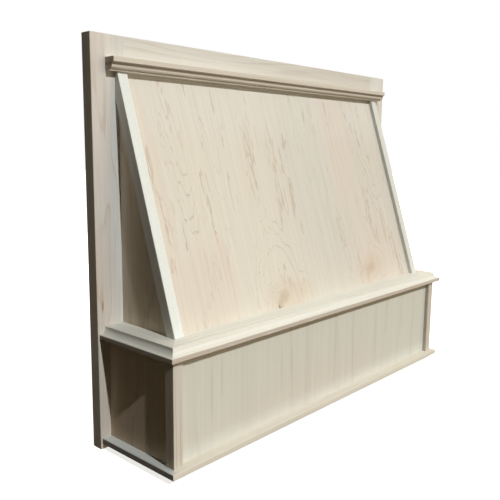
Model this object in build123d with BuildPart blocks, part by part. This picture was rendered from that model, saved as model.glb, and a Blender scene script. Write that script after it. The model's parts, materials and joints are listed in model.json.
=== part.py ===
from build123d import *
import os
from math import atan2, cos, radians, sin, tan

# A wooden range hood cover that is fixed over the fronts of two wall cabinets.
# Millimetres. The origin is the middle of the top rail's back face: X runs to the
# right, Y runs back into the cabinets and Z runs up.

# ---------------------------------------------------------------- driving sizes
frame_width = 914.4
frame_height = 725.0
frame_stock = 23.8  # thickness of the back frame's boards
shelf_stock = 21.6  # thickness of the shelf's boards
stock = 20.6  # thickness of all other solid maple
panel_thickness = 12.0
stile_width = 66.0
rail_height = 108.0

body_projection = 149.0  # cheek strips' feet, in front of the frame's face
head_projection = 7.1  # cheek strips' heads, under the crown, in front of the frame's face
side_recess = 6.4  # side panels, behind the outer faces of strips and posts
ledge_width = 32.0  # flat of the shelf outside the cheek strips

shelf_height = 226.8  # shelf's top, above the stiles' feet
shelf_width = 88.9
nose_overhang = 12.6  # shelf's nose, in front of the posts, and its cove's radius
nose_lip = 8.1

trim_clearance = 9.7  # trim's underside, above the stiles' feet
trim_thickness = 10.3
trim_overhang = 12.0
trim_width = 33.0

crown_drop = 38.0  # crown's top, below the frame's top
crown_inset = 28.9  # crown's ends, in from the frame's edges
crown_projection = 23.5
crown_fascia = 8.2
crown_cove = 5.6
crown_ovolo = 5.1
crown_ovolo_depth = 3.6
crown_quirk = 1.4
crown_quirk_depth = 3.4
crown_bead = 2.3

cleat = 19.0  # side of the square cleats, blocks and rails inside

screw_length = 28.0
screw_radius = 2.0
screw_head_radius = 4.0
screw_head_height = 2.6
screw_tip = 5.0
screw_clearance = 0.15
screw_end_distance = 42.0  # from a cleat's end to its first screw
long_cleat_screws = 4
short_cleat_screws = 2

pocket_angle = 15.0
pocket_radius = 4.75
pocket_shoulder = 12.0  # wood left between a pocket's end and the joint
pocket_length = 60.0
pocket_spacing = 56.0
pocket_screw_length = 32.0
pocket_head_radius = 4.2
pocket_head_height = 2.4

brad_radius = 0.6
brad_length = 32.0
brad_cover = 1.0  # filler over each set brad
brad_clearance = 0.05
brad_end_distance = 40.0
brad_count = 6

cabinet_hole_radius = 1.6
cabinet_hole_depth = 15.0
cabinet_hole_inset = 52.0  # from the frame's outer edges
cabinet_hole_margin = 120.0  # from the frame's top and from its feet

liner_hole_radius = 1.5
liner_hole_depth = 14.0
liner_hole_margin = 20.0  # from the ends of the side liner rails

# ------------------------------------------------------------- derived positions
pocket_tilt = radians(pocket_angle)
front_recess = stock - panel_thickness  # front panels end flush with the posts' backs
cove_top = nose_lip + nose_overhang
crown_height = crown_fascia + crown_cove + crown_ovolo + crown_quirk + crown_bead

frame_top = rail_height / 2
rail_bottom = -rail_height / 2
foot = frame_top - frame_height
shelf_top = foot + shelf_height
shelf_bottom = shelf_top - shelf_stock
trim_bottom = foot + trim_clearance
trim_top = trim_bottom + trim_thickness
apron_height = shelf_bottom - trim_top
crown_top = frame_top - crown_drop
crown_bottom = crown_top - crown_height
lean = atan2(body_projection - head_projection, crown_bottom - shelf_top)  # from upright

frame_face = -frame_stock
body_front = frame_face - body_projection
apron_front = body_front - ledge_width
apron_back = apron_front + stock  # backs of the posts and of the front panel
block_back = apron_back + cleat
rear_cleat_front = frame_face - cleat
nose_front = apron_front - nose_overhang
shelf_back = nose_front + shelf_width
trim_front = apron_front - trim_overhang

frame_half = frame_width / 2
opening_half = frame_half - stile_width  # stiles' inner edges, flush with the cheeks'
body_half = opening_half + panel_thickness + side_recess
apron_half = body_half + ledge_width
apron_inner = apron_half - side_recess - panel_thickness
block_inner = apron_inner - cleat
cleat_middle = apron_inner - cleat / 2
post_inner = apron_half - stock
nose_half = apron_half + nose_overhang
trim_half = apron_half + trim_overhang
crown_half = frame_half - crown_inset
slope_cleat_inner = opening_half - cleat

hands = (("left", -1), ("right", 1))
os.makedirs("parts", exist_ok=True)


def save(piece, name):
    """Label a finished piece and write it as the node of that name."""
    piece.part.label = name
    export_step(piece.part, f"parts/{name}.step")


def slope_y(depth, z):
    """Y, at height z, of the plane that lies depth behind the cheek strips' fronts."""
    return body_front + depth / cos(lean) + (z - shelf_top) * tan(lean)


def slope_z(depth, y):
    """Height at which the plane that lies depth behind the strips' fronts reaches y."""
    return shelf_top + (y - body_front - depth / cos(lean)) / tan(lean)


def spread(count, low, high):
    """Places spaced evenly from low to high, both ends included."""
    return [low + (high - low) * place / (count - 1) for place in range(count)]


def front_plan(z, half, front, width):
    """Plan, at height z, of a board along the front with both ends mitred."""
    with BuildSketch(Plane.XY.offset(z)) as plan:
        with BuildLine():
            Polyline(
                (-half, front),
                (half, front),
                (half - width, front + width),
                (width - half, front + width),
                close=True,
            )
        make_face()
    return plan.sketch


def side_plan(z, side, half, front, width):
    """Plan, at height z, of a board from a mitred front corner back to the frame."""
    with BuildSketch(Plane.XY.offset(z)) as plan:
        with BuildLine():
            Polyline(
                (side * half, front),
                (side * half, frame_face),
                (side * (half - width), frame_face),
                (side * (half - width), front + width),
                close=True,
            )
        make_face()
    return plan.sketch


def turned(*outline):
    """A solid turned about Z from half an outline, given as radius and height."""
    with BuildPart() as piece:
        with BuildSketch(Plane.XZ):
            with BuildLine():
                Polyline(*outline, close=True)
            make_face()
        revolve(axis=Axis.Z)
    return piece.part


# ------------------------------------------------------------ fasteners and holes
# Each fastener has the top of its head at the origin and its tip towards +Z. The
# hole of the same kind is larger by the clearance.
def wood_screw(gap):
    """Countersunk wood screw, or its hole."""
    return turned(
        (0, 0),
        (screw_head_radius + gap, 0),
        (screw_radius + gap, screw_head_height),
        (screw_radius + gap, screw_length - screw_tip),
        (0, screw_length + gap),
    )


def pocket_screw():
    """Flat-headed screw of a pocket joint."""
    return turned(
        (0, 0),
        (pocket_head_radius, 0),
        (pocket_head_radius, pocket_head_height),
        (screw_radius, pocket_head_height),
        (screw_radius, pocket_screw_length - screw_tip),
        (0, pocket_screw_length),
    )


def pocket_hole():
    """Slanted pocket that runs out of the rail's back, and the screw's own hole."""
    hole_radius = screw_radius + screw_clearance
    return turned(
        (0, -pocket_length),
        (pocket_radius, -pocket_length),
        (pocket_radius, pocket_head_height),
        (hole_radius, pocket_head_height),
        (hole_radius, pocket_screw_length - screw_tip),
        (0, pocket_screw_length + screw_clearance),
    )


def brads(gap):
    """Row of finish nails through the crown's fascia, or their holes."""
    head_y = frame_face - crown_projection + brad_cover
    head_z = crown_top - crown_fascia / 2
    row_half = crown_half - brad_end_distance
    with BuildPart() as row:
        with BuildSketch(Plane.XZ.offset(-head_y)):
            with Locations(*[(x, head_z) for x in spread(brad_count, -row_half, row_half)]):
                Circle(brad_radius + gap)
        extrude(amount=-brad_length)
    return row.part


def pocket_seats(side):
    """Places of the pocket screws at one end of the top rail."""
    setback = pocket_shoulder + pocket_head_height
    x = side * (opening_half - setback * cos(pocket_tilt))
    y = -frame_stock / 2 + setback * sin(pocket_tilt)
    into_stile = (side * cos(pocket_tilt), -sin(pocket_tilt), 0)
    heights = (-pocket_spacing / 2, pocket_spacing / 2)
    return [Plane((x, y, z), z_dir=into_stile).location for z in heights]


def spread_screws(count, low, high):
    """Places of the screws along a cleat that runs from low to high."""
    return spread(count, low + screw_end_distance, high - screw_end_distance)


long_screw_x = spread_screws(long_cleat_screws, -block_inner, block_inner)
short_screw_y = spread_screws(short_cleat_screws, block_back, rear_cleat_front)
rear_screw_z = spread_screws(short_cleat_screws, trim_top, shelf_bottom)
foot_cleat_middle = (slope_y(stock, shelf_top + cleat) + shelf_back) / 2


def seats(places, direction):
    """Screws with their heads at the places, driven in the direction."""
    return [Plane(place, z_dir=direction).location for place in places]


def side_shelf_seats(side):
    places = [(side * cleat_middle, y, shelf_bottom - cleat) for y in short_screw_y]
    return seats(places, (0, 0, 1))


def rear_cleat_seats(side):
    places = [(side * cleat_middle, rear_cleat_front, z) for z in rear_screw_z]
    return seats(places, (0, 1, 0))


def side_liner_seats(side):
    places = [(side * block_inner, y, trim_top + cleat / 2) for y in short_screw_y]
    return seats(places, (side, 0, 0))


front_shelf_seats = seats(
    [(x, apron_back + cleat / 2, shelf_bottom - cleat) for x in long_screw_x], (0, 0, 1)
)
front_liner_seats = seats(
    [(x, block_back, trim_top + cleat / 2) for x in long_screw_x], (0, -1, 0)
)
foot_cleat_seats = seats(
    [(x, foot_cleat_middle, shelf_top + cleat) for x in long_screw_x], (0, 0, -1)
)

# --------------------------------------------------------------------- back frame
for hand, side in hands:
    with BuildPart() as stile:
        with BuildSketch(Plane.XY.offset(foot)):
            with Locations((side * (frame_half - stile_width / 2), -frame_stock / 2)):
                Rectangle(stile_width, frame_stock)
        extrude(amount=frame_height)
        with BuildSketch(Plane.XZ):
            for z in (foot + cabinet_hole_margin, frame_top - cabinet_hole_margin):
                with Locations((side * (frame_half - cabinet_hole_inset), z)):
                    Circle(cabinet_hole_radius)
        extrude(amount=cabinet_hole_depth, mode=Mode.SUBTRACT)
        with Locations(*pocket_seats(side)):
            add(pocket_hole(), mode=Mode.SUBTRACT)
        with Locations(*rear_cleat_seats(side)):
            add(wood_screw(screw_clearance), mode=Mode.SUBTRACT)
    save(stile, f"{hand}_stile")

with BuildPart() as top_rail:
    with BuildSketch(Plane.XY.offset(rail_bottom)):
        with Locations((0, -frame_stock / 2)):
            Rectangle(2 * opening_half, frame_stock)
    extrude(amount=rail_height)
    for hand, side in hands:
        with Locations(*pocket_seats(side)):
            add(pocket_hole(), mode=Mode.SUBTRACT)
    add(brads(brad_clearance), mode=Mode.SUBTRACT)
save(top_rail, "top_rail")

with BuildPart() as pocket_screws:
    for hand, side in hands:
        with Locations(*pocket_seats(side)):
            add(pocket_screw())
save(pocket_screws, "pocket_screws")

# ------------------------------------------------------------------ crown moulding
fascia_y = frame_face - crown_projection
ovolo_y = fascia_y + crown_cove
quirk_y = ovolo_y + crown_ovolo_depth
bead_y = quirk_y + crown_quirk_depth
fascia_z = crown_top - crown_fascia
ovolo_z = fascia_z - crown_cove
quirk_z = ovolo_z - crown_ovolo
bead_z = quirk_z - crown_quirk

with BuildPart() as crown_moulding:
    with BuildSketch(Plane.YZ.offset(-crown_half)):
        with BuildLine():
            Polyline(
                (frame_face, crown_bottom),
                (frame_face, crown_top),
                (fascia_y, crown_top),
                (fascia_y, fascia_z),
            )
            TangentArc((fascia_y, fascia_z), (ovolo_y, ovolo_z), tangent=(1, 0))
            TangentArc((ovolo_y, ovolo_z), (quirk_y, quirk_z), tangent=(0, -1))
            Polyline((quirk_y, quirk_z), (bead_y, quirk_z), (bead_y, bead_z))
            ThreePointArc(
                (bead_y, bead_z),
                (bead_y - crown_bead / 2, bead_z - crown_bead / 2),
                (bead_y, crown_bottom),
            )
            Line((bead_y, crown_bottom), (frame_face, crown_bottom))
        make_face()
    extrude(amount=2 * crown_half)
    add(brads(brad_clearance), mode=Mode.SUBTRACT)
save(crown_moulding, "crown_moulding")

with BuildPart() as crown_brads:
    add(brads(0))
save(crown_brads, "crown_brads")

# ------------------------------------------------------------------- sloping body
for hand, side in hands:
    with BuildPart() as cheek_strip:
        with BuildSketch(Plane.YZ.offset(side * body_half)):
            with BuildLine():
                Polyline(
                    (slope_y(0, shelf_top), shelf_top),
                    (slope_y(stock, shelf_top), shelf_top),
                    (frame_face, slope_z(stock, frame_face)),
                    (frame_face, crown_bottom),
                    (slope_y(0, crown_bottom), crown_bottom),
                    close=True,
                )
            make_face()
        extrude(amount=-side * stock)
    save(cheek_strip, f"{hand}_cheek_strip")

    with BuildPart() as cheek_panel:
        with BuildSketch(Plane.YZ.offset(side * opening_half)):
            with BuildLine():
                Polyline(
                    (frame_face, shelf_top),
                    (slope_y(stock, shelf_top), shelf_top),
                    (frame_face, slope_z(stock, frame_face)),
                    close=True,
                )
            make_face()
        extrude(amount=side * panel_thickness)
    save(cheek_panel, f"{hand}_cheek_panel")

    slope_cleat_top = slope_z(stock + cleat, frame_face)
    with BuildPart() as slope_cleat:
        with BuildSketch(Plane.YZ.offset(side * opening_half)):
            with BuildLine():
                Polyline(
                    (slope_y(stock, shelf_top), shelf_top),
                    (slope_y(stock + cleat, shelf_top), shelf_top),
                    (frame_face, slope_cleat_top),
                    (slope_y(stock, slope_cleat_top), slope_cleat_top),
                    close=True,
                )
            make_face()
        extrude(amount=-side * cleat)
    save(slope_cleat, f"{hand}_slope_cleat")

with BuildPart() as slope_panel:
    with BuildSketch(Plane.YZ.offset(stock - body_half)):
        with BuildLine():
            Polyline(
                (slope_y(front_recess, shelf_top), shelf_top),
                (slope_y(stock, shelf_top), shelf_top),
                (frame_face, slope_z(stock, frame_face)),
                (frame_face, slope_z(front_recess, frame_face)),
                close=True,
            )
        make_face()
    extrude(amount=2 * (body_half - stock))
save(slope_panel, "slope_panel")

with BuildPart() as slope_head_cleat:
    with BuildSketch(Plane.YZ.offset(-opening_half)):
        with BuildLine():
            Polyline(
                (slope_y(stock, rail_bottom), rail_bottom),
                (0, rail_bottom),
                (0, rail_bottom - cleat),
                (slope_y(stock, rail_bottom - cleat), rail_bottom - cleat),
                close=True,
            )
        make_face()
    extrude(amount=2 * opening_half)
save(slope_head_cleat, "slope_head_cleat")

with BuildPart() as slope_foot_cleat:
    with BuildSketch(Plane.YZ.offset(-slope_cleat_inner)):
        with BuildLine():
            Polyline(
                (slope_y(stock, shelf_top), shelf_top),
                (shelf_back, shelf_top),
                (shelf_back, shelf_top + cleat),
                (slope_y(stock, shelf_top + cleat), shelf_top + cleat),
                close=True,
            )
        make_face()
    extrude(amount=2 * slope_cleat_inner)
    with Locations(*foot_cleat_seats):
        add(wood_screw(screw_clearance), mode=Mode.SUBTRACT)
save(slope_foot_cleat, "slope_foot_cleat")

with BuildPart() as foot_cleat_screws:
    with Locations(*foot_cleat_seats):
        add(wood_screw(0))
save(foot_cleat_screws, "foot_cleat_screws")


# ----------------------------------------------------------------------- the shelf
def coved_edge(plane, outward):
    """Section of a shelf board. outward turns a distance beyond the posts into X or Y."""
    back = outward(nose_overhang - shelf_width)
    post = outward(0)
    nose = outward(nose_overhang)
    towards_nose = 1 if nose > post else -1
    with BuildSketch(plane) as section:
        with BuildLine():
            Polyline(
                (post, shelf_bottom + cove_top),
                (post, shelf_top),
                (back, shelf_top),
                (back, shelf_bottom),
                (nose, shelf_bottom),
                (nose, shelf_bottom + nose_lip),
            )
            TangentArc(
                (nose, shelf_bottom + nose_lip),
                (post, shelf_bottom + cove_top),
                tangent=(-towards_nose, 0),
            )
        make_face()
    return section.sketch


with BuildPart() as front_shelf:
    section = coved_edge(Plane.YZ.offset(-nose_half), lambda beyond: apron_front - beyond)
    extrude(section, amount=2 * nose_half, dir=(1, 0, 0))
    plan = front_plan(shelf_bottom, nose_half, nose_front, shelf_width)
    extrude(plan, amount=shelf_stock, dir=(0, 0, 1), mode=Mode.INTERSECT)
    with Locations(*front_shelf_seats, *foot_cleat_seats):
        add(wood_screw(screw_clearance), mode=Mode.SUBTRACT)
save(front_shelf, "front_shelf")

for hand, side in hands:
    with BuildPart() as side_shelf:
        section = coved_edge(Plane.XZ.offset(-frame_face), lambda beyond: side * (apron_half + beyond))
        extrude(section, amount=frame_face - nose_front, dir=(0, -1, 0))
        plan = side_plan(shelf_bottom, side, nose_half, nose_front, shelf_width)
        extrude(plan, amount=shelf_stock, dir=(0, 0, 1), mode=Mode.INTERSECT)
        with Locations(*side_shelf_seats(side)):
            add(wood_screw(screw_clearance), mode=Mode.SUBTRACT)
    save(side_shelf, f"{hand}_shelf")

# ------------------------------------------------------------------- the lower box
with BuildPart() as front_apron_panel:
    with BuildSketch(Plane.XY.offset(trim_top)):
        with Locations((0, apron_back - panel_thickness / 2)):
            Rectangle(2 * post_inner, panel_thickness)
    extrude(amount=apron_height)
    with Locations(*front_liner_seats):
        add(wood_screw(screw_clearance), mode=Mode.SUBTRACT)
save(front_apron_panel, "front_apron_panel")

for hand, side in hands:
    with BuildPart() as corner_post:
        with BuildSketch(Plane.XY.offset(trim_top)):
            with Locations((side * (apron_half - stock / 2), apron_front + stock / 2)):
                Rectangle(stock, stock)
        extrude(amount=apron_height)
    save(corner_post, f"{hand}_corner_post")

    with BuildPart() as apron_panel:
        with BuildSketch(Plane.XY.offset(trim_top)):
            with Locations((side * (apron_inner + panel_thickness / 2), (apron_back + frame_face) / 2)):
                Rectangle(panel_thickness, frame_face - apron_back)
        extrude(amount=apron_height)
        with Locations(*side_liner_seats(side)):
            add(wood_screw(screw_clearance), mode=Mode.SUBTRACT)
    save(apron_panel, f"{hand}_apron_panel")

    with BuildPart() as corner_block:
        with BuildSketch(Plane.XY.offset(trim_top)):
            with Locations((side * cleat_middle, apron_back + cleat / 2)):
                Rectangle(cleat, cleat)
        extrude(amount=apron_height)
    save(corner_block, f"{hand}_corner_block")

    with BuildPart() as rear_cleat:
        with BuildSketch(Plane.XY.offset(trim_top)):
            with Locations((side * cleat_middle, frame_face - cleat / 2)):
                Rectangle(cleat, cleat)
        extrude(amount=apron_height)
        with Locations(*rear_cleat_seats(side)):
            add(wood_screw(screw_clearance), mode=Mode.SUBTRACT)
    save(rear_cleat, f"{hand}_rear_cleat")

    with BuildPart() as shelf_cleat:
        with BuildSketch(Plane.XY.offset(shelf_bottom)):
            with Locations((side * cleat_middle, (block_back + rear_cleat_front) / 2)):
                Rectangle(cleat, rear_cleat_front - block_back)
        extrude(amount=-cleat)
        with Locations(*side_shelf_seats(side)):
            add(wood_screw(screw_clearance), mode=Mode.SUBTRACT)
    save(shelf_cleat, f"{hand}_shelf_cleat")

    with BuildPart() as liner_rail:
        with BuildSketch(Plane.XY.offset(trim_top)):
            with Locations((side * cleat_middle, (block_back + rear_cleat_front) / 2)):
                Rectangle(cleat, rear_cleat_front - block_back)
        extrude(amount=cleat)
        with BuildSketch(Plane.XY.offset(trim_top)):
            for y in (block_back + liner_hole_margin, rear_cleat_front - liner_hole_margin):
                with Locations((side * cleat_middle, y)):
                    Circle(liner_hole_radius)
        extrude(amount=liner_hole_depth, mode=Mode.SUBTRACT)
        with Locations(*side_liner_seats(side)):
            add(wood_screw(screw_clearance), mode=Mode.SUBTRACT)
    save(liner_rail, f"{hand}_liner_rail")

with BuildPart() as front_shelf_cleat:
    with BuildSketch(Plane.XY.offset(shelf_bottom)):
        with Locations((0, apron_back + cleat / 2)):
            Rectangle(2 * block_inner, cleat)
    extrude(amount=-cleat)
    with Locations(*front_shelf_seats):
        add(wood_screw(screw_clearance), mode=Mode.SUBTRACT)
save(front_shelf_cleat, "front_shelf_cleat")

with BuildPart() as front_liner_rail:
    with BuildSketch(Plane.XY.offset(trim_top)):
        with Locations((0, apron_back + cleat / 2)):
            Rectangle(2 * block_inner, cleat)
    extrude(amount=cleat)
    with Locations(*front_liner_seats):
        add(wood_screw(screw_clearance), mode=Mode.SUBTRACT)
save(front_liner_rail, "front_liner_rail")

with BuildPart() as shelf_screws:
    with Locations(*front_shelf_seats, *side_shelf_seats(-1), *side_shelf_seats(1)):
        add(wood_screw(0))
save(shelf_screws, "shelf_screws")

with BuildPart() as rear_cleat_screws:
    with Locations(*rear_cleat_seats(-1), *rear_cleat_seats(1)):
        add(wood_screw(0))
save(rear_cleat_screws, "rear_cleat_screws")

with BuildPart() as liner_rail_screws:
    with Locations(*front_liner_seats, *side_liner_seats(-1), *side_liner_seats(1)):
        add(wood_screw(0))
save(liner_rail_screws, "liner_rail_screws")

# ----------------------------------------------------------------- the bottom trim
with BuildPart() as front_bottom_trim:
    extrude(front_plan(trim_bottom, trim_half, trim_front, trim_width), amount=trim_thickness, dir=(0, 0, 1))
save(front_bottom_trim, "front_bottom_trim")

for hand, side in hands:
    with BuildPart() as bottom_trim:
        plan = side_plan(trim_bottom, side, trim_half, trim_front, trim_width)
        extrude(plan, amount=trim_thickness, dir=(0, 0, 1))
    save(bottom_trim, f"{hand}_bottom_trim")
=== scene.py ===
import json
from math import asin, atan2, cos, radians, sin, tan

import bpy
from bpy.props import FloatProperty, FloatVectorProperty, IntProperty, PointerProperty
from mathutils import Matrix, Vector


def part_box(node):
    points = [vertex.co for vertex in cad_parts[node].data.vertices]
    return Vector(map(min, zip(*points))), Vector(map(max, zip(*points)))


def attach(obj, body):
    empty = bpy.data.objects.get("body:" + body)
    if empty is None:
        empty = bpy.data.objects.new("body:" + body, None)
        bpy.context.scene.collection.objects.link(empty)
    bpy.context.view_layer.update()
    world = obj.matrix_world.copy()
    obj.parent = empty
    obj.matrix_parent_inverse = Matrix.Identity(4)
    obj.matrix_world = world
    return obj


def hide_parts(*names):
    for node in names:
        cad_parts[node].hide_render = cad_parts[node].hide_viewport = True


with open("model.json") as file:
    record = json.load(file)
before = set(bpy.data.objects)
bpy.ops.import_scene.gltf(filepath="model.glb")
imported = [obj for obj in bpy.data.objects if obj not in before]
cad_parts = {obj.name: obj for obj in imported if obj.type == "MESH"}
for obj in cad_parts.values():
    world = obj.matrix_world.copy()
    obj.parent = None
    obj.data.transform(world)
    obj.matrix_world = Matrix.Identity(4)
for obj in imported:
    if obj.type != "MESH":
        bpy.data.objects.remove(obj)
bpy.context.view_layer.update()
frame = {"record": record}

bl_info = {
    "name": "Wooden range hood cover",
    "version": (1, 0, 0),
    "blender": (4, 5, 0),
    "location": "3D View > Sidebar > Hood Cover",
    "description": "Builds a maple range hood cover with a sloping front, piece by piece",
    "category": "Add Mesh",
}

# Everything is in metres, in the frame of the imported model: the origin is the middle
# of the top rail's back face, X runs right, Y back into the cabinets and Z up.
HANDS = (("left", -1), ("right", 1))
SIDES = (-1, 1)
MILLIMETRES = 1000  # in a metre

DRILL_FACES = 32  # round a drilled hole or a countersink
SCREW_FACES = 20  # round a screw
THREAD_TURNS = 12
THREAD_ROOT = 0.72  # share of the shank's radius
THREAD_STARTS = 0.004  # below a screw's head
THREAD_ENDS = 0.005  # before its tip
WELD = 0.00002  # corners nearer than this become one
SMOOTH_ANGLE = radians(35)  # edges flatter than this are shaded smooth
EASED_ANGLE = radians(34)  # edges sharper than this are sanded round
LINER_HOLE_DEPTH = 0.014
POCKET_HEAD_RADIUS = 0.0042
POCKET_HEAD_HEIGHT = 0.0024
SEAT_GAP = 0.00015  # between a screw's head and its countersink
SEAT_LIP = 0.0005  # that a countersink's cutter stands out of the wood

BEYOND = 9.0  # half length of a tint that runs past both ends of its board
ALL_OVER = ((0.0, 0.0), (BEYOND, BEYOND))
SKIN = 0.0008  # depth of the painted shade that lies on one outer face

KEY_COLOUR = (1.0, 0.995, 0.975)
KEY_PLACE = (-0.3, -3.0, 2.2)
KEY_DIRECTION = (0.103, 1.0, -0.84)
BACK_PLACE = (0.9, 2.4, 0.9)
BACK_DIRECTION = (-0.35, -1.0, -0.42)
BACK_STRENGTH = 35
BACK_SIZE = 1.6
SENSOR_WIDTH = 36  # of the camera, in millimetres
FLOOR_SIZE = 24
FLOOR_GLOW = 0.72  # lifts the floor to white in the camera's eyes
SKY_LEAST = 0.042  # share of the fill light that comes from the left
SKY_BELOW = 0.45  # share of the fill light that comes from below
SKY_HIGH = (1.0, 0.88, 0.72)
SKY_LOW = (1.0, 0.80, 0.55)
SKY_LEFT = (1.0, 0.82, 0.44)
SKY_SIDES = (-0.05, 0.45)  # the light grows between these parts of a sideways direction
SKY_HEIGHTS = (-0.25, 0.25)  # and between these parts of an upward one


def corners_of(node):
    """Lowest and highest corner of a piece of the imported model, as vectors."""
    low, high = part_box(node)
    return Vector(low), Vector(high)


def bolt_pattern(name):
    """Centre, half spacings and hole radius of one of the record's bolt patterns."""
    mount = next(m for m in frame["record"]["mounts"] if m["name"] == name)
    dims = mount["dims"]
    half_x, half_y = (dims[f"spacing_{axis}_mm"] / 2 / MILLIMETRES for axis in "xy")
    return Vector(mount["pos_m"]), half_x, half_y, dims["hole_r_mm"] / MILLIMETRES


# Places that several pieces share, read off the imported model.
stile_low, stile_high = corners_of("left_stile")
rail_low, rail_high = corners_of("top_rail")
crown_low, crown_high = corners_of("crown_moulding")
strip_low, strip_high = corners_of("left_cheek_strip")
panel_low, panel_high = corners_of("slope_panel")
shelf_low, shelf_high = corners_of("front_shelf")
post_low, post_high = corners_of("left_corner_post")
apron_low, apron_high = corners_of("front_apron_panel")
trim_low, trim_high = corners_of("front_bottom_trim")

frame_stock = stile_high.y - stile_low.y
frame_face = stile_low.y
shelf_top = shelf_high.z
shelf_bottom = shelf_low.z
stock = post_high.x - post_low.x
opening_half = rail_high.x
frame_half = -stile_low.x
body_half = -strip_low.x
body_front = strip_low.y
lean = atan2(panel_high.y - panel_low.y, panel_high.z - panel_low.z)
slope_up = Vector((0, sin(lean), cos(lean)))
front_recess = (panel_low.y - body_front) * cos(lean)
slope_length = (panel_high.z - panel_low.z) / cos(lean)


def on_slope(x, depth, z):
    """Point at x and height z of the plane that lies depth behind the strips' fronts."""
    return (x, body_front + depth / cos(lean) + (z - shelf_top) * tan(lean), z)


def on_frame(x, depth):
    """Point at x where the plane that lies depth behind the strips' fronts meets the frame."""
    return (x, frame_face, shelf_top + (frame_face - body_front - depth / cos(lean)) / tan(lean))


# ---- sizes and colours
def length(name, description, default):
    """A length that a user may change, in metres."""
    return FloatProperty(
        name=name, description=description, default=default,
        min=0, max=1, precision=4, subtype="DISTANCE", unit="LENGTH",
    )


def amount(name, description, default):
    """A plain number that a user may change."""
    return FloatProperty(name=name, description=description, default=default, min=0)


def angle(name, description, default):
    """An angle that a user may change."""
    return FloatProperty(
        name=name, description=description, default=radians(default), subtype="ANGLE", unit="ROTATION"
    )


def colour(name, description, default):
    """A colour that a user may change."""
    return FloatVectorProperty(
        name=name, description=description, default=default, size=3, min=0, max=1, subtype="COLOR"
    )


class HoodCoverSizes(bpy.types.PropertyGroup):
    """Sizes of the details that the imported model's corners don't give."""

    board_ease: length("Board edges", "Radius sanded on the edges of solid boards", 0.0009)
    panel_ease: length("Panel edges", "Radius sanded on the edges of plywood panels", 0.0004)
    cleat_ease: length("Cleat edges", "Radius left on the sawn cleats", 0.0006)
    crown_fascia: length("Crown fascia", "Height of the crown's flat fascia", 0.0082)
    crown_cove: length("Crown cove", "Radius of the crown's cove", 0.0056)
    crown_ovolo: length("Crown ovolo", "Height of the crown's ovolo", 0.0051)
    crown_ovolo_depth: length("Crown ovolo depth", "Depth of the crown's ovolo", 0.0036)
    crown_quirk: length("Crown quirk", "Height of the step under the ovolo", 0.0014)
    crown_quirk_depth: length("Crown quirk depth", "Depth of the step under the ovolo", 0.0034)
    crown_bead: length("Crown bead", "Height of the crown's bead", 0.0023)
    crown_ease: length("Crown edges", "Radius sanded on the crown's sharp edges", 0.00035)
    nose_lip: length("Shelf lip", "Height of the lip under the shelf's cove", 0.0081)
    nose_cove: length("Shelf cove", "Radius of the cove round the shelf's edge", 0.0126)
    pilot_radius: length("Cabinet hole", "Radius of the holes for the cabinet screws", 0.0016)
    pilot_depth: length("Cabinet hole depth", "Depth of the holes for the cabinet screws", 0.015)
    pocket_radius: length("Pocket", "Radius of the slanted pockets behind the rail", 0.00475)
    pocket_length: length("Pocket length", "Length of the pocket's cutter", 0.060)
    pocket_shoulder: length("Pocket shoulder", "Wood left between a pocket and its joint", 0.012)
    pocket_spacing: length("Pocket spacing", "Distance between two pockets of a joint", 0.056)
    pocket_angle: angle("Pocket angle", "Slant of the pockets", 15)
    screw_length: length("Screw length", "Length of the wood screws", 0.028)
    screw_radius: length("Screw shank", "Radius of the screws' shank", 0.002)
    screw_head: length("Screw head", "Radius of the countersunk head", 0.004)
    screw_head_height: length("Screw head height", "Height of the countersunk head", 0.0026)
    screw_end: length("Screw spacing", "Distance from a cleat's end to its first screw", 0.042)
    round_steps: IntProperty(
        name="Round steps", description="Faces along a round of a profile", default=8, min=2, max=24
    )


class HoodCoverColours(bpy.types.PropertyGroup):
    """Colours of the wood and the steel. Line, streak, tan, haze and pewter also serve as painted
    shade.
    """

    cream: colour("Sapwood", "Pale cream of the sapwood", (0.73, 0.703, 0.628))
    blush: colour("Heartwood", "Pinkish tone of the heartwood", (0.715, 0.63, 0.56))
    tan: colour("Warm heartwood", "Light brown of the warmest heartwood", (0.60, 0.45, 0.31))
    silver: colour("Cool sapwood", "Greyish tone of the coolest sapwood", (0.66, 0.67, 0.62))
    line: colour("Growth rings", "Brown of the growth rings' late wood", (0.40, 0.29, 0.20))
    streak: colour("Mineral streak", "Dark brown of streaks and knots", (0.15, 0.08, 0.045))
    bleached: colour("Bleached strip", "Near white of the palest boards", (0.84, 0.90, 0.90))
    frost: colour("Cool board", "Cool pale tone of the back frame", (0.755, 0.745, 0.715))
    ash: colour("Apron board", "Pale greenish grey of the apron's front", (0.665, 0.665, 0.60))
    pewter: colour("Coolest board", "Cool grey of the side trims", (0.56, 0.60, 0.60))
    haze: colour("Greyed heartwood", "Greyer tone of the posts", (0.64, 0.615, 0.56))
    cleat: colour("Cleats", "Yellower wood of the sawn cleats", (0.60, 0.48, 0.32))
    steel: colour("Screws", "Zinc plated steel", (0.58, 0.57, 0.55))
    floor: colour("Floor", "Pale studio floor", (0.80, 0.80, 0.79))


class HoodCoverStage(bpy.types.PropertyGroup):
    """The lights and the camera."""

    sun_strength: amount("Key light", "Strength of the key light", 2.2)
    sun_angle: angle("Key softness", "Width of the key light", 0.8)
    sky_strength: amount("Fill light", "Strength of the soft light", 1.2)
    lens: amount("Lens", "Focal length in millimetres", 45.937)
    camera_place: FloatVectorProperty(
        name="Camera", description="Place of the camera", default=(-1.07666, -0.94484, -0.13212),
        subtype="TRANSLATION", unit="LENGTH",
    )
    camera_turn: FloatVectorProperty(
        name="Camera turn", description="Rotation of the camera",
        default=(radians(80.9413), radians(-0.5698), radians(-47.6066)),
        subtype="EULER", unit="ROTATION",
    )


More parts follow.
